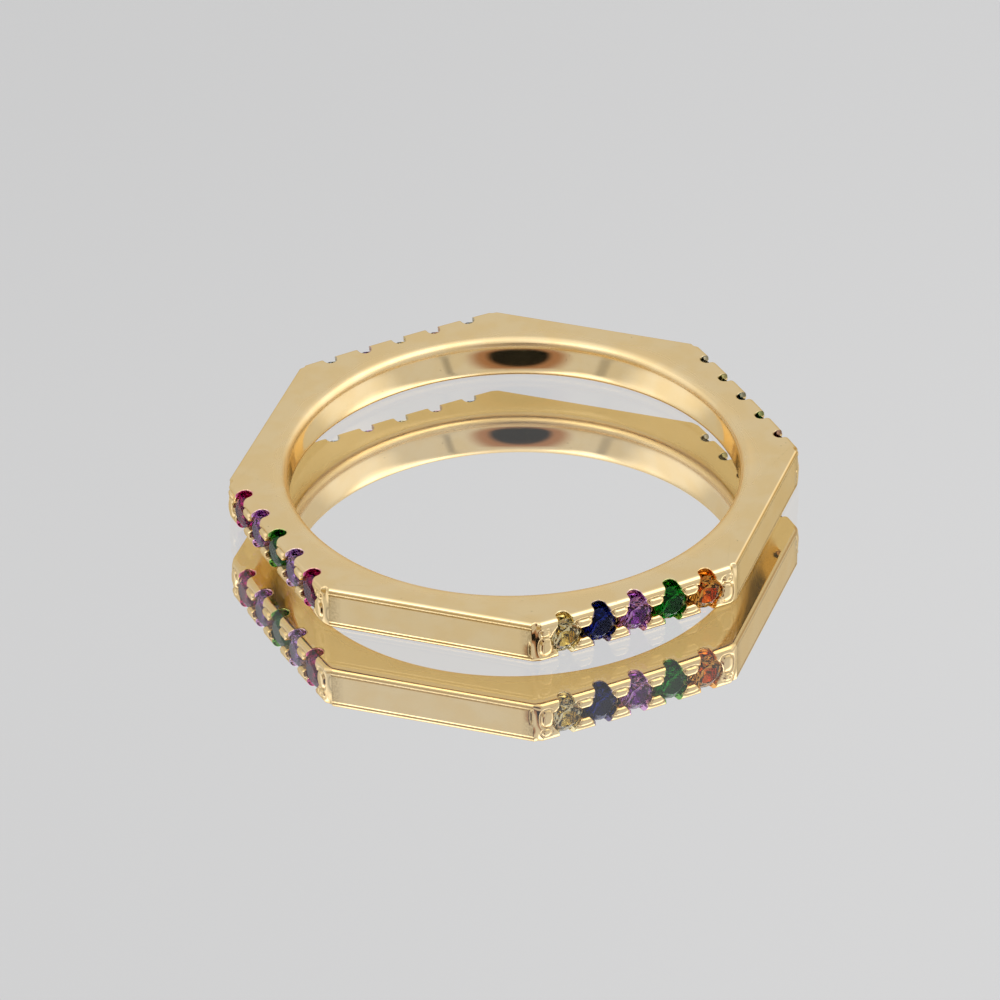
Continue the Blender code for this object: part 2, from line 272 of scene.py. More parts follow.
# %% Plain room for the eye and for the floor
BOUNCED_ONCE = 2.5
PASSED_SHEET = 0.5
ACROSS = (-0.07, 0.07, 0.97, 1.03)
UPWARD = (math.sin(math.radians(30)), math.sin(math.radians(35)), 0.945, 1.003)

path = node(room_tree, "LightPath").outputs
once = math_node(room_tree, "LESS_THAN", path["Ray Depth"], BOUNCED_ONCE)
through_sheet = math_node(room_tree, "GREATER_THAN", path["Transparent Depth"], PASSED_SHEET)
in_floor = math_node(room_tree, "MULTIPLY", once, through_sheet)
plain = math_node(room_tree, "MAXIMUM", in_floor, path["Is Camera Ray"])
across = smooth_between(room_tree, along(towards(90, 0)), *ACROSS)
upward = smooth_between(room_tree, height, *UPWARD)
grey = math_node(room_tree, "MULTIPLY", math_node(room_tree, "MULTIPLY", across, upward), FLOOR_GREY)
straight = math_node(room_tree, "SUBTRACT", 1.0, through_sheet)
rim_light = math_node(room_tree, "MULTIPLY", rim_lamp, straight)
seen = node(room_tree, "VectorMath", {0: seen, 1: rim_light}, operation="ADD").outputs[0]
colour = mixed(room_tree, plain, seen, grey)
glow = node(room_tree, "Background", {"Color": colour, "Strength": 1.0})
node(room_tree, "OutputWorld", {"Surface": glow.outputs[0]})
bpy.context.scene.world = room
bpy.context.scene.view_settings.view_transform = "Standard"
print("floor grey", FLOOR_GREY)

# %% [markdown]
# The floor is a pale mirror behind a clear sheet, so the ring's reflection starts about a millimetre
# below it. A mirror plane lies at that depth. It is a little grey, so the reflection is duller than the
# ring. A second, almost clear plane at the ring's foot adds the faint first reflection of the sheet's own
# face, from above only.

# %% Floor
FLOOR_SIZE = 0.6
MIRROR_DEPTH = 0.97 * MM
SHEET_DEPTH = 0.02 * MM
SHEET_SHINE = 0.08
SHEET_INDEX = 1.55
MIRROR_TINT = (0.95, 0.95, 0.955, 1)
HAZE_TINT = (0.95, 0.95, 0.95, 1)
HAZE_SHARE = 0.01


def flat_plane(name, depth, material):
    """A square stage plane below the ring."""
    shape = bmesh.new()
    bmesh.ops.create_grid(shape, x_segments=1, y_segments=1, size=FLOOR_SIZE)
    bmesh.ops.translate(shape, vec=(0, 0, -depth), verts=shape.verts)
    mesh = bpy.data.meshes.new(name)
    shape.to_mesh(mesh)
    shape.free()
    mesh.materials.append(material)
    plane = bpy.data.objects.new(name, mesh)
    bpy.context.collection.objects.link(plane)
    return plane


mirror_material, tree = node_tree("mirror_floor")
mirror = node(tree, "BsdfGlossy", {"Color": MIRROR_TINT, "Roughness": 0.0})
haze = node(tree, "BsdfDiffuse", {"Color": HAZE_TINT})
blend = node(tree, "MixShader", {0: HAZE_SHARE, 1: mirror.outputs[0], 2: haze.outputs[0]})
node(tree, "OutputMaterial", {"Surface": blend.outputs[0]})
flat_plane("floor_mirror", MIRROR_DEPTH, mirror_material)

sheet_material, tree = node_tree("clear_sheet")
clear = node(tree, "BsdfTransparent")
face = node(tree, "BsdfGlossy", {"Color": (1, 1, 1, 1), "Roughness": 0.0})
from_above = math_node(tree, "SUBTRACT", 1.0, node(tree, "NewGeometry").outputs["Backfacing"])
faint = math_node(tree, "MINIMUM", node(tree, "Fresnel", {"IOR": SHEET_INDEX}).outputs[0], SHEET_SHINE)
share = math_node(tree, "MULTIPLY", from_above, faint)
blend = node(tree, "MixShader", {0: share, 1: clear.outputs[0], 2: face.outputs[0]})
node(tree, "OutputMaterial", {"Surface": blend.outputs[0]})
flat_plane("floor_sheet", SHEET_DEPTH, sheet_material)
print("mirror", MIRROR_DEPTH / MM, "mm below the ring")

# %% [markdown]
# The band carries the fine work. On the real ring it is one casting: an eight-sided hoop with a round
# bore. Four of its sides are cut for stones, with a U-shaped notch on each edge beside every stone and
# small beads left standing between them. It could be cut with Booleans, but they leave hard edges, and
# here every edge is softly polished. So the band is modelled as a jeweller's wax is: one closed sheet of
# faces is folded round the hoop, and its points are pressed in or pulled out by simple rules.

# %% Band sizes, in millimetres
SIDES = 8
BORE_RADIUS = 8.65
SIDE_DISTANCE = 10.14
BAND_HEIGHT = 1.74
HALF_HEIGHT = BAND_HEIGHT / 2
BORE_ROUNDING = 0.40
BORE_SATIN = 0.15
RIM_SATIN = 2.0
BORE_CROWN = 6.1
CORNER_ROUNDING = 0.48
CORNER_CROWN = 4.5
CORNER_MARGIN = 0.36
MARGIN_TAPER = 0.5
CORNER_CROWN_PLACE = -0.25
SET_EDGE = 0.27
PLAIN_EDGE = 0.18
SET_STEP = 0.05
SET_BULGE = 0.08
GROOVE_PLACE = 0.64
GROOVE_HALF = 0.030
GROOVE_DEPTH = 0.022
SLOT_PLACE = (0.09, -0.32)
SLOT_HALF = (0.035, 0.30)
SLOT_DEPTH = 0.09
HALF_SIDE = SIDE_DISTANCE * math.tan(math.pi / SIDES)
CORNER_REACH = CORNER_ROUNDING * math.tan(math.pi / SIDES)
FLAT_REACH = HALF_SIDE - CORNER_REACH
CORNER_LENGTH = CORNER_ROUNDING * 2 * math.pi / SIDES
print("each side is", round(2 * HALF_SIDE, 2), "mm long, its flat part", round(2 * FLAT_REACH, 2), "mm")

# %% [markdown]
# Columns of points run across the band, rows run round it. The columns lie close together at the walls of
# the notches, where the form turns sharply, and far apart on the plain sides, where it doesn't. The last
# few on a plain side are close again, because a small slot ends each panel.

# %% Columns round the band
STONES_PER_ROW = 5
STONE_PITCH = 1.50
STONE_PLACES = [(number - 2) * STONE_PITCH for number in range(STONES_PER_ROW)]
NOTCH_HALF = 0.25
FINE_STEP = 0.046
CLEAR_SHARE = 0.4
WALL_STEPS = (-0.010, 0.0, 0.012, 0.028, 0.05)
CORNER_STEPS = 16
PLAIN_STEPS = 16
PLAIN_END_STEPS = (0.02, 0.05, 0.08, 0.11, 0.14, 0.18)


def set_side_columns():
    """Places along a stone-set side, close together at the notch walls."""
    walls = [
        stone + way * (NOTCH_HALF + step) for stone in STONE_PLACES for way in (-1, 1) for step in WALL_STEPS
    ]
    count = round(2 * FLAT_REACH / FINE_STEP)
    regular = [-FLAT_REACH + 2 * FLAT_REACH * step / count for step in range(count + 1)]
    kept = [u for u in regular if min(abs(u - wall) for wall in walls) > CLEAR_SHARE * FINE_STEP]
    return sorted(kept + walls)


def plain_side_columns():
    """Places along a plain side, even but for the slot's end."""
    even = [FLAT_REACH * (2 * step / PLAIN_STEPS - 1) for step in range(PLAIN_STEPS + 1)]
    return sorted(even + [-FLAT_REACH + 0.02] + [FLAT_REACH - step for step in PLAIN_END_STEPS])


columns = []
for side in range(SIDES):
    is_set = side % 2 == 0
    places = set_side_columns() if is_set else plain_side_columns()
    columns += [(side, u, 0.0) for u in places]
    columns += [(side, FLAT_REACH, step / CORNER_STEPS) for step in range(1, CORNER_STEPS)]
print(len(columns), "columns round the band")

# %% [markdown]
# Each row has a place across the band: how far it lies inside the side's flat (w) and how high (v), once
# for a set side with its wide rounding and once for a plain side with its thin one. In a corner the two
# are mixed.

# %% Rows across the band
EDGE_STEPS = 7
FACE_STEPS = 30
MARGIN = (0.03, 0.06, 0.09, 0.12, 0.15, 0.18, 0.21, 0.24, 0.27, 0.32, 0.38)
BORE_STEPS = 6


def row_spread(flat, edge, share):
    """Even rows on a set side; on a plain side they crowd towards the grooves at its borders."""
    return flat * (share if edge == SET_EDGE else math.sin(math.pi / 2 * share))


def outer_rows(edge):
    """Rows from the lower margin, over the side, to the upper margin, as (w, v, turn of the normal)."""
    flat = HALF_HEIGHT - edge
    upper = [(0.0, row_spread(flat, edge, step * 2 / FACE_STEPS), 0.0) for step in range(1, FACE_STEPS // 2)]
    for step in range(EDGE_STEPS + 1):
        turn = math.pi / 2 * step / EDGE_STEPS
        upper.append((edge * (math.cos(turn) - 1), flat + edge * math.sin(turn), turn))
    upper += [(-edge - more, HALF_HEIGHT, math.pi / 2) for more in MARGIN]
    lower = [(w, -v, -turn) for w, v, turn in reversed(upper)]
    return lower + [(0.0, 0.0, 0.0)] + upper


def bore_rows():
    """Rows from the top face, over the rim and down the bore, to the underside, as (outward, height)."""
    start = math.asin((HALF_HEIGHT - BORE_ROUNDING) / (BORE_CROWN - BORE_ROUNDING))
    base = BORE_CROWN * (1 - math.cos(start)) + BORE_ROUNDING * math.cos(start)
    rows = [(base + 0.03, HALF_HEIGHT)]
    for step in range(EDGE_STEPS + 1):
        turn = math.pi / 2 + (start - math.pi / 2) * step / EDGE_STEPS
        outward = base - BORE_ROUNDING * math.cos(turn)
        rows.append((outward, HALF_HEIGHT - BORE_ROUNDING * (1 - math.sin(turn))))
    turns = [start * (1 - 2 * step / BORE_STEPS) for step in range(1, BORE_STEPS)]
    middle = [(BORE_CROWN * (1 - math.cos(turn)), BORE_CROWN * math.sin(turn)) for turn in turns]
    return rows + middle + [(outward, -height) for outward, height in reversed(rows)]


set_rows = outer_rows(SET_EDGE)
plain_rows = outer_rows(PLAIN_EDGE)
inner_rows = bore_rows()
print(len(set_rows), "rows outside,", len(inner_rows), "rows in the bore")

# %% [markdown]
# The rules for a set side follow the photograph. A notch is a U in plan with a softly rounded rim.
# Between two stones a channel runs along the middle, with a land on each side of it. On each land stands
# an oblong bead, which has been pushed over the stones' edges, with a fine crease round it. First come
# the sizes of all these, in millimetres from the middle of the side, and two soft curves that the rules
# share.

# %% Sizes and curves of a set side
STONE_LEVEL = 0.08
NOTCH_CENTRE = STONE_LEVEL - 0.25
RIM_ROUNDING = 0.05
NOTCH_UNDERCUT = math.tan(math.radians(30))
NOTCH_FLARE = 0.08
FLARE_DEPTH = 0.3
FLARE_REACH = 0.22
OPENING_RADIUS = 0.61
STONE_RADIUS = 0.70
ROW_END = 3.62
CHANNEL_HALF = 0.23
CHANNEL_DEPTH = 0.30
BEAD_PLACE = 0.41
BEAD_HALF = (0.38, 0.16)
BEAD_RISE = 0.09
BEAD_SQUARENESS = 2.6
BEAD_LEVEL = 0.7
CREASE = 0.07
CREASE_RING = (1.16, 0.13)
SEAT_GAP = 0.26
SEAT_SLOPE = math.tan(math.radians(42))
END_BEAD = 3.82
TALL_PRONG = -0.20
TALL_HALF = (0.24, 0.36)
TALL_SHARE = 0.75
SMALL_PRONG = 0.42
SMALL_HALF = (0.18, 0.14)
SMALL_SHARE = 0.6
SMALL_ASIDE = 0.03
PIT = (3.92, 0.42)
PIT_DEPTH = 0.10
PIT_SIZE = 0.05
SUNK_DEPTHS = (0.01, 0.09)
SOFT = 0.045
SNAP = 0.052
NOTCH_SNAP = 0.026
SNAP_BLEND = 0.1
SNAPPED = 0.004


def soft_step(value, start, end):
    """0 before start, 1 after end, and a smooth run between."""
    share = min(max((value - start) / (end - start), 0.0), 1.0)
    return share * share * (3 - 2 * share)


def rounded_drop(distance, radius):
    """How far a rounded rim falls away at a distance from its wall."""
    left = radius - min(max(distance, 0.0), radius)
    return radius - math.sqrt(max(radius * radius - left * left, 0.0))


def bulge(u):
    """How far a set side swells past the blank; it is fullest in the middle."""
    return SET_STEP + SET_BULGE * max(1 - (u / FLAT_REACH) ** 2, 0.0)


print("a set side swells by", bulge(0), "mm in the middle and", bulge(FLAT_REACH), "mm at its ends")

# %% [markdown]
# Each rule is a small function of where a point lies. A bead is a flattened dome in a ring of crease, a
# seat is a cone a little under the stone, and the end of a row has two prongs and a pinhole. Points near
# a round edge are first gathered on its circle, because a grid would cut the edge into steps.

# %% Rules for a set side
def bead_height(along, across, half):
    """An oblong bead with a crease round it."""
    power = BEAD_SQUARENESS
    reach = (abs(along / half[0]) ** power + abs(across / half[1]) ** power) ** (1 / power)
    dome = BEAD_RISE * math.sqrt(max(1 - reach**3, 0.0))
    crease = CREASE * math.exp(-(((reach - CREASE_RING[0]) / CREASE_RING[1]) ** 2))
    return dome - crease


def bed_depth(distance):
    """The seat below a stone, a cone a little under its pavilion."""
    return STONE_LEVEL - SEAT_GAP - (STONE_RADIUS - distance) * SEAT_SLOPE


def snapped(distance, radius, reach):
    """Gather the points near a circle on it, so that an edge cut there is clean."""
    off = distance - radius
    if abs(off) >= 2 * reach:
        return distance
    if abs(off) <= reach:
        return radius + off * SNAPPED / reach
    return radius + math.copysign(SNAPPED + (abs(off) - reach) * (2 * reach - SNAPPED) / reach, off)


def end_work(u, v):
    """The end of a row: a tall prong low down, a small one above it, and a pit beside them."""
    along = abs(u) - END_BEAD
    rise = TALL_SHARE * bead_height(along, v - TALL_PRONG, TALL_HALF)
    rise += SMALL_SHARE * bead_height(along - SMALL_ASIDE, v - SMALL_PRONG, SMALL_HALF)
    return rise - PIT_DEPTH * math.exp(-((u - PIT[0]) ** 2 + (v - PIT[1]) ** 2) / PIT_SIZE**2)


# %% [markdown]
# One function applies the rules in the order in which a setter works: the notch is cut, the beads are
# raised, the channel is opened and the seat is drilled. It also tells how far a point ends up below the
# blank, and the gold paints shade into these hollows from that and makes them a little duller.

# %% Carve a point
def rounded_notch(x, w):
    """Draw a point near the notch's round end onto its edge, as (x, w)."""
    deep = w - NOTCH_CENTRE
    if deep >= 0:
        return x, w
    reach = math.hypot(x, deep)
    pull = (snapped(reach, NOTCH_HALF, NOTCH_SNAP) / reach - 1) * soft_step(-deep, 0.0, SNAP_BLEND)
    return x + x * pull, w + deep * pull


def with_beads(u, w, v, stone):
    """The level between two stones, or at a row's end."""
    gap = stone + math.copysign(STONE_PITCH / 2, u - stone)
    is_end = abs(gap) > STONE_PLACES[-1]
    return w + (end_work(u, v) if is_end else bead_height(u - gap, abs(v) - BEAD_PLACE, BEAD_HALF))


def carved(u, w, v, turn):
    """Move one point of a set side's blank to its carved place, as (u, w, v, how much painted shade and
    dullness its depth gives it).
    """
    stone = min(STONE_PLACES, key=lambda place: abs(place - u))
    x, w = rounded_notch(u - stone, w)
    u = stone + x
    outline = math.hypot(x, min(w - NOTCH_CENTRE, 0.0)) - NOTCH_HALF
    blank_w = w
    if outline <= 0:
        floor = NOTCH_CENTRE - math.sqrt(max(NOTCH_HALF**2 - x * x, 0.0))
        v = math.copysign(min(abs(v), HALF_HEIGHT - RIM_ROUNDING), v)
        w = min(w, floor - (HALF_HEIGHT - abs(v)) * NOTCH_UNDERCUT)
    else:
        drop = rounded_drop(outline, RIM_ROUNDING)
        w -= drop * math.cos(turn)
        v -= drop * math.sin(turn)
        if abs(v) < BEAD_LEVEL:
            w = with_beads(u, w, v, stone)
    channel = 1 - soft_step(abs(v), CHANNEL_HALF - SOFT, CHANNEL_HALF)
    channel *= 1 - soft_step(abs(u), ROW_END - SOFT, ROW_END)
    w = w * (1 - channel) + min(w, STONE_LEVEL - CHANNEL_DEPTH) * channel
    distance = math.hypot(x, v)
    gathered = snapped(distance, OPENING_RADIUS, SNAP)
    if gathered != distance:
        u += x * (gathered / distance - 1)
        v *= gathered / distance
    opened = 1 - soft_step(gathered, OPENING_RADIUS - SNAPPED, OPENING_RADIUS + SNAPPED)
    w = w * (1 - opened) + min(w, bed_depth(gathered)) * opened
    near_wall = 1 - soft_step(abs(abs(x) - NOTCH_HALF), 0, FLARE_REACH)
    flare = NOTCH_FLARE * soft_step(HALF_HEIGHT - abs(v), 0.0, FLARE_DEPTH) * near_wall
    # painted shade and dullness: the deeper a point lies below the blank, the more it gets
    shade_and_dullness = soft_step(blank_w - w, *SUNK_DEPTHS) if outline > RIM_ROUNDING else 0.0
    return u + math.copysign(flare, x), w, v, shade_and_dullness


seat_level = carved(STONE_PLACES[2], 0.0, 0.0, 0.0)[1]
print("the seat of a middle stone is", round(-seat_level, 3), "mm deep")

# %% [markdown]
# The metal in a notch mirrors the stone beside it, and this reflection is painted into the gold's colour:
# a painted reflection of the stone. The colours are named here, because the sheet carries the painted
# reflection with it as a colour on its points. The back row shows only as faint tints at its notches, so
# its colours are a guess.

# %% Stone colours
STONE_COLOURS = {
    "champagne": (0.93, 0.83, 0.50),
    "sapphire": (0.003, 0.012, 0.22),
    "amethyst": (0.56, 0.28, 0.68),
    "emerald": (0.004, 0.32, 0.02),
    "orange": (0.88, 0.40, 0.07),
    "plum": (0.40, 0.04, 0.16),
    "teal": (0.02, 0.20, 0.26),
    "olive": (0.45, 0.50, 0.15),
    "grey_green": (0.6, 0.65, 0.55),
    "steel_blue": (0.45, 0.6, 0.75),
    "rose": (0.85, 0.5, 0.52),
    "ruby": (0.60, 0.02, 0.32),
    "lilac": (0.6, 0.42, 0.75),
}
ROWS = {
    "front": ("champagne", "sapphire", "amethyst", "emerald", "orange"),
    "right": ("plum", "emerald", "teal", "olive", "grey_green"),
    "back": ("steel_blue", "rose", "champagne", "amethyst", "steel_blue"),
    "left": ("ruby", "amethyst", "emerald", "lilac", "ruby"),
}
SIDE_ROWS = {0: "front", 2: "right", 4: "back", 6: "left"}
# The notch metal gets a painted reflection of the nearest stone's colour; these set its reach and its
# strength in each row.
REFLECTION_EDGE = 0.05
REFLECTION_OPENING = (STONE_RADIUS - 0.14, STONE_RADIUS - 0.06)
REFLECTION_BRIGHTNESS = {"front": 1.0, "right": 0.2, "back": 0.6, "left": 1.2}


def painted_reflection_at(side, u, v, w):
    """The nearest stone's colour, and how strongly its painted reflection tints the metal here."""
    number = min(range(STONES_PER_ROW), key=lambda number: abs(STONE_PLACES[number] - u))
    aside = u - STONE_PLACES[number]
    wall = NOTCH_HALF + NOTCH_FLARE * soft_step(HALF_HEIGHT - abs(v), 0.0, FLARE_DEPTH)
    inside = 1 - soft_step(math.hypot(aside, min(w - NOTCH_CENTRE, 0.0)), wall, wall + REFLECTION_EDGE)
    opened = 1 - soft_step(math.hypot(aside, v), *REFLECTION_OPENING)
    row = SIDE_ROWS[side]
    tint = [channel * REFLECTION_BRIGHTNESS[row] for channel in STONE_COLOURS[ROWS[row][number]]]
    return tint, max(inside, opened)


print(len(STONE_COLOURS), "stone colours in", len(ROWS), "rows")

# %% [markdown]
# Each point of the sheet has a place on the hoop. Outside, it is a side's flat or the arc of a corner,
# where set and plain rows are mixed. Inside, it is a row of the bore on a ray from the axis. The same
# function gives each point its finish: the plain panels and the bore's rim are more satin, and the
# grooves, the slot and the panels' ends get painted shade and are duller.

# %% Place a point
RIM_FADE = (HALF_HEIGHT - BORE_ROUNDING - 0.1, HALF_HEIGHT - BORE_ROUNDING + 0.2)
PANEL_SATIN = 0.6
PANEL_END = (FLAT_REACH - 0.42, FLAT_REACH - 0.02)
# the panels' ends and grooves get painted shade and are duller
PANEL_END_SHADE = 0.9
GROOVE_SUNK = 0.8


def side_frame(side):
    """Outward and along directions of a side; side 0 faces -Y."""
    angle = math.radians(-90 + 360 / SIDES * side)
    outward = Vector((math.cos(angle), math.sin(angle), 0))
    return outward, Vector((-outward.y, outward.x, 0))


def outer_place(side, u, corner):
    """A point of the outer outline and its outward direction."""
    outward, along = side_frame(side)
    if corner == 0:
        return outward * SIDE_DISTANCE + along * u, outward
    turn = Matrix.Rotation(math.radians(360 / SIDES) * corner, 3, "Z")
    centre = outward * (SIDE_DISTANCE - CORNER_ROUNDING) + along * FLAT_REACH
    return centre + (turn @ outward) * CORNER_ROUNDING, turn @ outward


def bore_spot(row, bore_turn):
    """A point of the bore and its satin finish."""
    distance, height = inner_rows[row]
    ray = Matrix.Rotation(bore_turn, 3, "Z") @ Vector((BORE_RADIUS + distance, 0, 0))
    rim = soft_step(abs(height), *RIM_FADE)
    return ray + Vector((0, 0, HALF_HEIGHT + height)), BORE_SATIN + RIM_SATIN * rim


def panel_relief(u, v, turn):
    """A plain side's satin finish, how far it is cut in and how much painted shade and dullness it gets."""
    flat = math.cos(turn)
    satin = PANEL_SATIN * soft_step(flat, 0.8, 1.0)
    groove = math.exp(-(((abs(v) - GROOVE_PLACE) / GROOVE_HALF) ** 2)) * soft_step(abs(flat), 0.9, 1)
    along, across = (u - FLAT_REACH + SLOT_PLACE[0]) / SLOT_HALF[0], (v - SLOT_PLACE[1]) / SLOT_HALF[1]
    slot = math.exp(-(along**2) - across**6)
    # painted shade at the panel's ends, though nothing is cut there
    end_shade = satin * PANEL_END_SHADE * soft_step(abs(u), *PANEL_END)
    return satin, GROOVE_DEPTH * groove + SLOT_DEPTH * slot, max(GROOVE_SUNK * groove, slot, end_shade)


def placed(column, row, bore_turn):
    """Where the sheet's point belongs, in millimetres, and its finish: how satin it is and how much painted
    shade and dullness it gets.
    """
    if row >= len(set_rows):
        return *bore_spot(row - len(set_rows), bore_turn), 0.0
    side, u, corner = column
    spot, outward = outer_place(side, u, corner)
    is_set = side % 2 == 0
    if corner == 0:
        share = 0.0 if is_set else 1.0
        row_u = u
    else:
        share = soft_step(corner if is_set else 1 - corner, 0, 1)
        row_u = FLAT_REACH + corner * CORNER_LENGTH if is_set else -FLAT_REACH - (1 - corner) * CORNER_LENGTH
    w, v, turn = (a * (1 - share) + b * share for a, b in zip(set_rows[row], plain_rows[row]))
    deepest = CORNER_MARGIN + MARGIN_TAPER * max(FLAT_REACH - abs(row_u), 0.0) * (1 - share)
    w = max(w, -deepest)
    if corner == 0 and not is_set:
        satin, cut, shade_and_dullness = panel_relief(u, v, turn)
        return spot + outward * (w - cut) + Vector((0, 0, HALF_HEIGHT + v)), satin, shade_and_dullness
    new_u, w, v, shade_and_dullness = carved(row_u, w + bulge(row_u) * (1 - share), v, turn)
    spot += Vector((-outward.y, outward.x, 0)) * (new_u - row_u)
    crown = math.sin(math.pi * corner) * (v - CORNER_CROWN_PLACE) ** 2 / (2 * CORNER_CROWN)
    return spot + outward * (w - crown * math.cos(turn)) + Vector((0, 0, HALF_HEIGHT + v)), 0.0, shade_and_dullness


print("a plain panel's grooves lie", GROOVE_PLACE, "mm above and below its middle")

# %% [markdown]
# Now the sheet is folded. A grid gives one point for each column and row. Each point is carried to its
# place on the hoop, the two pairs of open edges meet, and doubles are merged, which closes the sheet. The
# volume tells whether its faces point outwards, and no edge is left open. One fault stays: by the notches,
# where the sheet meets itself, a few dozen edges are shared by more than two faces.

# %% Fold the sheet round the hoop
MERGE_DISTANCE = 0.002 * MM
TINY_EDGE = 0.001 * MM

row_count = len(set_rows) + len(inner_rows)
middle_column = (len(set_side_columns()) - 1) / 2
shape = bmesh.new()
bmesh.ops.create_grid(shape, x_segments=len(columns), y_segments=row_count, size=0.5)
satin_layer = shape.verts.layers.float.new("satin")
# this layer carries how much painted shade and dullness each point gets
shade_and_dullness_layer = shape.verts.layers.float.new("shade_and_dullness")
stone_reflection_layer = shape.verts.layers.float_color.new("painted_stone_reflection")
for point in shape.verts:
    column = round((point.co.x + 0.5) * len(columns)) % len(columns)
    row = round((point.co.y + 0.5) * row_count) % row_count
    bore_turn = 2 * math.pi * (column - middle_column) / len(columns) - math.pi / 2
    spot, point[satin_layer], point[shade_and_dullness_layer] = placed(columns[column], row, bore_turn)
    point.co = spot * MM
    point[stone_reflection_layer] = (0, 0, 0, 0)
    side, u, corner = columns[column]
    # the notches of the set sides carry a painted reflection of the nearest stone
    if side in SIDE_ROWS and corner == 0 and row < len(set_rows):
        outward, _ = side_frame(side)
        tint, strength = painted_reflection_at(side, u, spot.z - HALF_HEIGHT, spot.dot(outward) - SIDE_DISTANCE)
        point[stone_reflection_layer] = (*tint, strength)
bmesh.ops.remove_doubles(shape, verts=shape.verts, dist=MERGE_DISTANCE)
bmesh.ops.dissolve_degenerate(shape, edges=shape.edges, dist=TINY_EDGE)
bmesh.ops.recalc_face_normals(shape, faces=shape.faces)
face_counts = [len(edge.link_faces) for edge in shape.edges]
volume = shape.calc_volume(signed=True) / MM**3
print("band sheet", len(shape.verts), "points,", len(shape.faces), "faces,", round(volume, 2), "cubic mm")
print("edges with no face", face_counts.count(0), "with one", face_counts.count(1))
print("edges with three or more", sum(count > 2 for count in face_counts))

# %% [markdown]
# The sheet is shaded smooth, with its sharp edges kept. The upper face and the underside are flat, so the
# points on them get a normal that points straight up or down. Without that, the notches would draw faint
# rays on them.

# %% The band as an object
SHARP_ANGLE = math.radians(38)

band_mesh = bpy.data.meshes.new("gold_band")
for face in shape.faces:
    face.smooth = True
shape.to_mesh(band_mesh)
shape.free()
band_mesh.set_sharp_from_angle(angle=SHARP_ANGLE)
level_faces = {0.0: (0, 0, -1), BAND_HEIGHT: (0, 0, 1)}
band_mesh.normals_split_custom_set_from_vertices(
    [level_faces.get(round(point.co.z / MM, 4), (0, 0, 0)) for point in band_mesh.vertices]
)
band = bpy.data.objects.new("gold_band", band_mesh)
bpy.context.collection.objects.link(band)
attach(band, "root")
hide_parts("band")
print("gold band", len(band_mesh.polygons), "faces")

# %% [markdown]
# Gold plate is a smooth metal, so its colour is all in its reflection. What makes it look real is its
# small faults, and each is a noise on the object's own place in millimetres. Fine polishing lines run
# round the ring, so one noise is squeezed flat: it changes quickly with height and slowly along the band.
# A broad noise clouds the shine, two drawn out ones are thin scratches, and the cells of a Voronoi
# pattern give a few specks of dust.

# %% Faults of the plate
gold, tree = node_tree("gold_plate")
own_place = node(tree, "TexCoord").outputs["Object"]
place_in_mm = node(tree, "Mapping", {0: own_place, "Scale": (1000, 1000, 1000)}).outputs[0]


def noise(tree, vector, scale, detail=2.0, distortion=0.0):
    """A cloud of values round 0.5; the scale is in lumps per millimetre."""
    inputs = {"Vector": vector, "Scale": scale, "Detail": detail, "Distortion": distortion}
    return node(tree, "TexNoise", inputs).outputs["Fac"]


def stretched(tree, vector, scale, turn=(0, 0, 0)):
    """The same place, turned and squeezed, so that a noise on it is drawn out to lines."""
    return node(tree, "Mapping", {0: vector, "Scale": scale, "Rotation": turn}).outputs[0]


def scratch_lines(turn):
    """Thin scratches across the faces, all at one slant."""
    drawn = stretched(tree, place_in_mm, (0.25, 9.0, 9.0), (0, 0, turn))
    return smooth_between(tree, noise(tree, drawn, 1.6, 1.0, 0.15), 0.70, 0.76)


clouds = noise(tree, place_in_mm, 0.9, 3.0)
lines = noise(tree, stretched(tree, place_in_mm, (0.35, 0.35, 26.0)), 1.0, 3.0)
scratches = math_node(tree, "ADD", scratch_lines(0.5), scratch_lines(2.1))
dust = node(tree, "TexVoronoi", {"Vector": place_in_mm, "Scale": 3.2}).outputs["Distance"]
dust_here = smooth_between(tree, noise(tree, place_in_mm, 1.7, 0.0), 0.60, 0.66)
specks = math_node(tree, "MULTIPLY", smooth_between(tree, dust, 0.085, 0.055), dust_here)
satin = node(tree, "Attribute", attribute_name="satin").outputs["Fac"]
# how much painted shade and dullness each point gets
shade_and_dullness = node(tree, "Attribute", attribute_name="shade_and_dullness").outputs["Fac"]
# the painted reflection of the stones in the notches
painted_stone_reflection = node(tree, "Attribute", attribute_name="painted_stone_reflection").outputs
print("faults of the plate:", len(tree.nodes), "nodes")

# %% [markdown]
# The colour is mixed in layers: two near golds in clouds, a painted shade of deeper gold on faces that
# look down, painted dark shade in the hollows, grooves and panel ends, the stones' painted reflection in
# the notches, and dust on top.

# %% Colour of the gold
GOLD = (0.96, 0.75, 0.43, 1)
GOLD_WARM = (0.95, 0.715, 0.375, 1)
GOLD_AT_GRAZING = (0.93, 0.80, 0.56, 1)
# The next colour is painted shade, a deeper gold for the faces that look down.
GOLD_PAINTED_SHADE_BELOW = (0.95, 0.66, 0.25, 1)
# The next colour is painted shade, a dark brown for the hollows, grooves and panel ends.
HOLLOW_PAINTED_SHADE = (0.30, 0.21, 0.075, 1)
SPECK = (0.34, 0.25, 0.12, 1)
# how strongly the painted stone reflection covers the gold
REFLECTION_SHARE = 0.85
SPECK_SHARE = 0.8

tone = mixed(tree, smooth_between(tree, clouds, 0.35, 0.65), GOLD, GOLD_WARM)
facing = node(tree, "SeparateXYZ", {0: node(tree, "NewGeometry").outputs["Normal"]}).outputs["Z"]
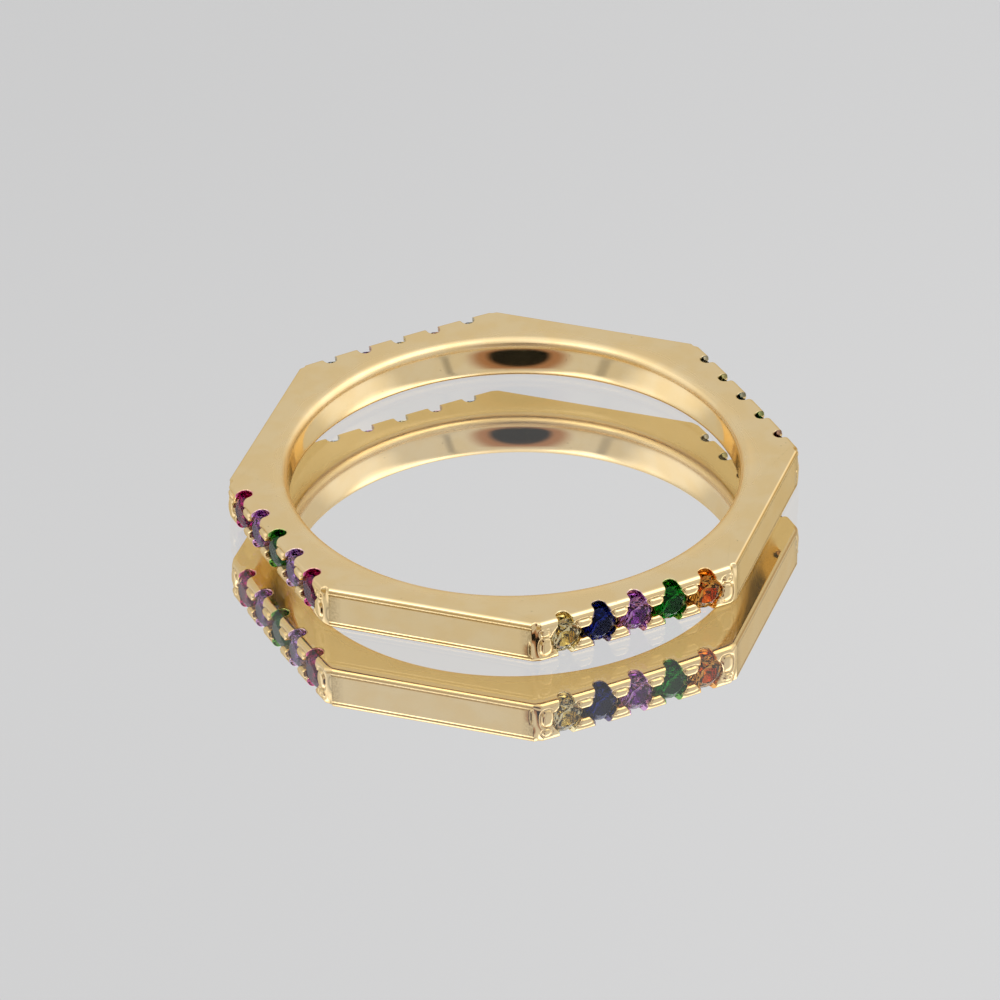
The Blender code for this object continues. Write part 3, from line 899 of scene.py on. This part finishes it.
# painted shade: faces that look down get a deeper gold
tone = mixed(tree, smooth_between(tree, facing, -0.3, -0.9), tone, GOLD_PAINTED_SHADE_BELOW)
hollow_shade_strength = smooth_between(tree, noise(tree, place_in_mm, 9.0, 3.0), 0.38, 0.62, 0.45, 0.95)
# painted shade in the hollows, grooves and panel ends, broken up by a noise
tone = mixed(tree, math_node(tree, "MULTIPLY", shade_and_dullness, hollow_shade_strength), tone, HOLLOW_PAINTED_SHADE)
# painted reflection: the nearest stone's colour is mixed into the gold in the notches
tone = mixed(tree, math_node(tree, "MULTIPLY", painted_stone_reflection["Alpha"], REFLECTION_SHARE), tone, painted_stone_reflection["Color"])
tone = mixed(tree, math_node(tree, "MULTIPLY", specks, SPECK_SHARE), tone, SPECK)
print("gold", GOLD[:3], "to", GOLD_WARM[:3])

# %% [markdown]
# The shine is mixed the same way. The satin panels are rougher along their polishing lines, and scratches
# and creases are a little dull. The lines, scratches and clouds also tilt the surface by a hair, with a
# Bump node, which is enough to break up the long reflections.

# %% Shine of the gold
ROUGHNESS_POLISHED = 0.045
ROUGHNESS_SATIN = 0.12
SCRATCH_ROUGHNESS = 0.06
SUNK_ROUGHNESS = 0.12
BUMP_STRENGTH = 0.35
BUMP_HEIGHT = 0.0004 * MM

rough = smooth_between(tree, clouds, 0.3, 0.7, ROUGHNESS_POLISHED * 0.7, ROUGHNESS_POLISHED * 1.3)
satin_rough = smooth_between(tree, lines, 0.3, 0.7, ROUGHNESS_SATIN * 0.8, ROUGHNESS_SATIN * 1.3)
rough = math_node(tree, "ADD", rough, math_node(tree, "MULTIPLY", satin, satin_rough))
rough = math_node(tree, "ADD", rough, math_node(tree, "MULTIPLY", scratches, SCRATCH_ROUGHNESS))
rough = math_node(tree, "ADD", rough, math_node(tree, "MULTIPLY", shade_and_dullness, SUNK_ROUGHNESS))
line_depth = math_node(tree, "ADD", math_node(tree, "MULTIPLY", satin, 0.8), 0.2)
relief = math_node(tree, "MULTIPLY", lines, line_depth)
relief = math_node(tree, "SUBTRACT", relief, math_node(tree, "MULTIPLY", scratches, 0.12))
relief = math_node(tree, "ADD", relief, math_node(tree, "MULTIPLY", clouds, 0.25))
bump = node(tree, "Bump", {"Height": relief, "Strength": BUMP_STRENGTH, "Distance": BUMP_HEIGHT}).outputs[0]
metal = node(
    tree,
    "BsdfPrincipled",
    {
        "Base Color": tone,
        "Metallic": 1.0,
        "Roughness": rough,
        "Specular Tint": GOLD_AT_GRAZING,
        "Normal": bump,
    },
)
node(tree, "OutputMaterial", {"Surface": metal.outputs[0]})
band_mesh.materials.append(gold)
print("roughness", ROUGHNESS_POLISHED, "polished, satin adds", ROUGHNESS_SATIN)

# %% [markdown]
# The stones are clear coloured crystals of high index, and their facets are real geometry from the frame.
# A cut stone is never one colour. It grows in zones, so a noise mixes each tint with a much deeper one.
# The lower part of each stone is painted paler, a painted light that stands in for light from the floor.
# Fine inclusions dull a few facets, and the facets keep faint polishing marks. One function makes them
# all, and only the tint differs.

# %% Stones
CRYSTAL_INDEX = 1.76
GEM_SHINE = 0.22
FLAW_ROUGHNESS = 0.16
PALE_BELOW = (0.80, 0.40)
DEEPER = {"champagne": 1.5, "orange": 1.2, "amethyst": 1.7, "lilac": 1.6}
DEEPER |= dict.fromkeys(("rose", "grey_green", "steel_blue"), 1.5)
DEEPER_USUAL = 2.2
DEEP_SHARE = 0.8
PALER = 0.75
gems = {}


def tint_to(tint, power, share=1.0, base=0.0):
    """The tint with each channel raised to a power: above 1 deepens it, below 1 makes it paler."""
    return *(base + share * channel**power for channel in tint), 1


def cut_stone(colour, tint):
    """The material of one colour of stone."""
    material, tree = node_tree("stone_" + colour)
    spot = stretched(tree, node(tree, "TexCoord").outputs["Object"], (1000, 1000, 1000))
    deep = tint_to(tint, DEEPER.get(colour, DEEPER_USUAL), DEEP_SHARE)
    zones = smooth_between(tree, noise(tree, spot, 1.3, 1.0, 0.4), 0.40, 0.62)
    # painted light: the lower part of each stone is painted paler, standing in for light from the floor
    low = smooth_between(tree, node(tree, "SeparateXYZ", {0: spot}).outputs["Z"], *PALE_BELOW)
    body = mixed(tree, low, mixed(tree, zones, deep, (*tint, 1)), tint_to(tint, PALER))
    flaws = smooth_between(tree, noise(tree, spot, 7.0, 2.0), 0.66, 0.74, 0.0, FLAW_ROUGHNESS)
    marks = noise(tree, stretched(tree, spot, (2.0, 2.0, 30.0)), 1.0, 2.0)
    polish = node(tree, "Bump", {"Height": marks, "Strength": 0.15, "Distance": BUMP_HEIGHT}).outputs[0]
    crystal = node(
        tree,
        "BsdfPrincipled",
        {
            "Base Color": body,
            "Roughness": flaws,
            "IOR": CRYSTAL_INDEX,
            "Specular IOR Level": GEM_SHINE,
            "Specular Tint": tint_to(tint, 0.7, 0.75, 0.12),
            "Transmission Weight": 1.0,
            "Normal": polish,
        },
    )
    node(tree, "OutputMaterial", {"Surface": crystal.outputs[0]})
    return material


for colour, tint in STONE_COLOURS.items():
    gems[colour] = cut_stone(colour, tint)
for row, colours in ROWS.items():
    for number, colour in enumerate(colours, 1):
        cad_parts[f"stone_{row}_{number}"].material_slots[0].material = gems[colour]
    print(row, "row:", ", ".join(colours))
